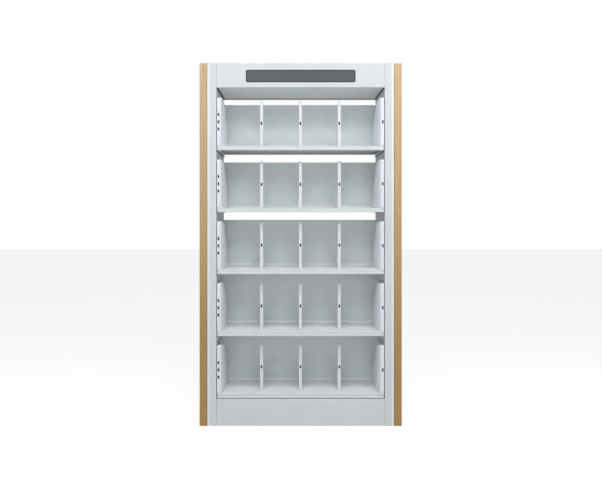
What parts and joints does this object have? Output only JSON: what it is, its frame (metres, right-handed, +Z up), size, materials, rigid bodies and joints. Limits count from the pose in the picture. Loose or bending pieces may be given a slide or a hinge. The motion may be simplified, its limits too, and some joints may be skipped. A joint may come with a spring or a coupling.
{
  "type": "library return shelf",
  "caption": "Open-front steel library return shelf with wood end panels, tiers split by reading dividers, a header display behind a hinged flap and a hinged plinth.",
  "frame": {"origin": "on the floor, at the middle of the footprint", "axes": "+X to the right seen from the front, +Y from the open front to the back, +Z up"},
  "size_m": [1.09, 0.35, 1.96],
  "materials": {
    "wood_laminate": "satin beech laminate on board",
    "white_steel": "fine off-white powder coat",
    "grey_steel": "fine light grey powder coat",
    "white_plastic": "moulded white plastic with a fine texture",
    "smoked_window": "smoked acrylic",
    "dark_lens": "dark filter plastic",
    "dark_electronics": "black moulded plastic",
    "circuit_board": "green board with solder mask",
    "zinc_steel": "zinc plated",
    "black_rubber": "dull black"
  },
  "bodies": {
    "root": {"end_panel_left": "wood_laminate", "end_panel_right": "wood_laminate", "upright_left": "white_steel", "upright_right": "white_steel", "top_cover": "white_steel", "header_pan": "white_steel", "hinge_pins": "zinc_steel", "base_pan": "white_steel", "power_supply": "zinc_steel", "power_inlet": "dark_electronics", "rfid_reader": "dark_electronics", "wire_loom": "black_rubber", "cheeks_left": "grey_steel", "cheeks_right": "grey_steel", "antenna_boards": "circuit_board", "sensor_windows": "dark_lens", "panel_bolts": "zinc_steel", "shelf_1": "white_steel", "shelf_2": "white_steel", "shelf_3": "white_steel", "shelf_4": "white_steel", "shelf_5": "white_steel", "back_panel_1": "grey_steel", "back_panel_2": "grey_steel", "back_panel_3": "grey_steel", "back_panel_4": "grey_steel", "back_panel_5": "grey_steel", "side_antenna_left_1": "white_plastic", "side_antenna_left_2": "white_plastic", "side_antenna_left_3": "white_plastic", "side_antenna_left_4": "white_plastic", "side_antenna_left_5": "white_plastic", "side_antenna_right_1": "white_plastic", "side_antenna_right_2": "white_plastic", "side_antenna_right_3": "white_plastic", "side_antenna_right_4": "white_plastic", "side_antenna_right_5": "white_plastic", "divider_1_1": "white_plastic", "divider_1_2": "white_plastic", "divider_1_3": "white_plastic", "divider_2_1": "white_plastic", "divider_2_2": "white_plastic", "divider_2_3": "white_plastic", "divider_3_1": "white_plastic", "divider_3_2": "white_plastic", "divider_3_3": "white_plastic", "divider_4_1": "white_plastic", "divider_4_2": "white_plastic", "divider_4_3": "white_plastic", "divider_5_1": "white_plastic", "divider_5_2": "white_plastic", "divider_5_3": "white_plastic"},
    "header_door": {"header_flap": "white_steel", "display_window": "smoked_window", "display_board": "dark_electronics"},
    "plinth_door": {"plinth_flap": "white_steel"},
    "levelling_foot_1": {"foot_1": "black_rubber"},
    "levelling_foot_2": {"foot_2": "black_rubber"},
    "levelling_foot_3": {"foot_3": "black_rubber"},
    "levelling_foot_4": {"foot_4": "black_rubber"}
  },
  "joints": [
    {"name": "header_flap_hinge", "type": "hinge", "parent": "root", "child": "header_door", "pos_m": [0, -0.148, 1.95], "axis": [-1, 0, 0], "range_deg": [0, 80]},
    {"name": "plinth_flap_hinge", "type": "hinge", "parent": "root", "child": "plinth_door", "pos_m": [0, -0.165, 0.14], "axis": [-1, 0, 0], "range_deg": [0, 80]},
    {"name": "foot_1_turn", "type": "hinge", "parent": "root", "child": "levelling_foot_1", "pos_m": [-0.48, -0.13, 0], "axis": [0, 0, 1], "continuous": true},
    {"name": "foot_2_turn", "type": "hinge", "parent": "root", "child": "levelling_foot_2", "pos_m": [0.48, -0.13, 0], "axis": [0, 0, 1], "continuous": true},
    {"name": "foot_3_turn", "type": "hinge", "parent": "root", "child": "levelling_foot_3", "pos_m": [-0.48, 0.13, 0], "axis": [0, 0, 1], "continuous": true},
    {"name": "foot_4_turn", "type": "hinge", "parent": "root", "child": "levelling_foot_4", "pos_m": [0.48, 0.13, 0], "axis": [0, 0, 1], "continuous": true}
  ]
}
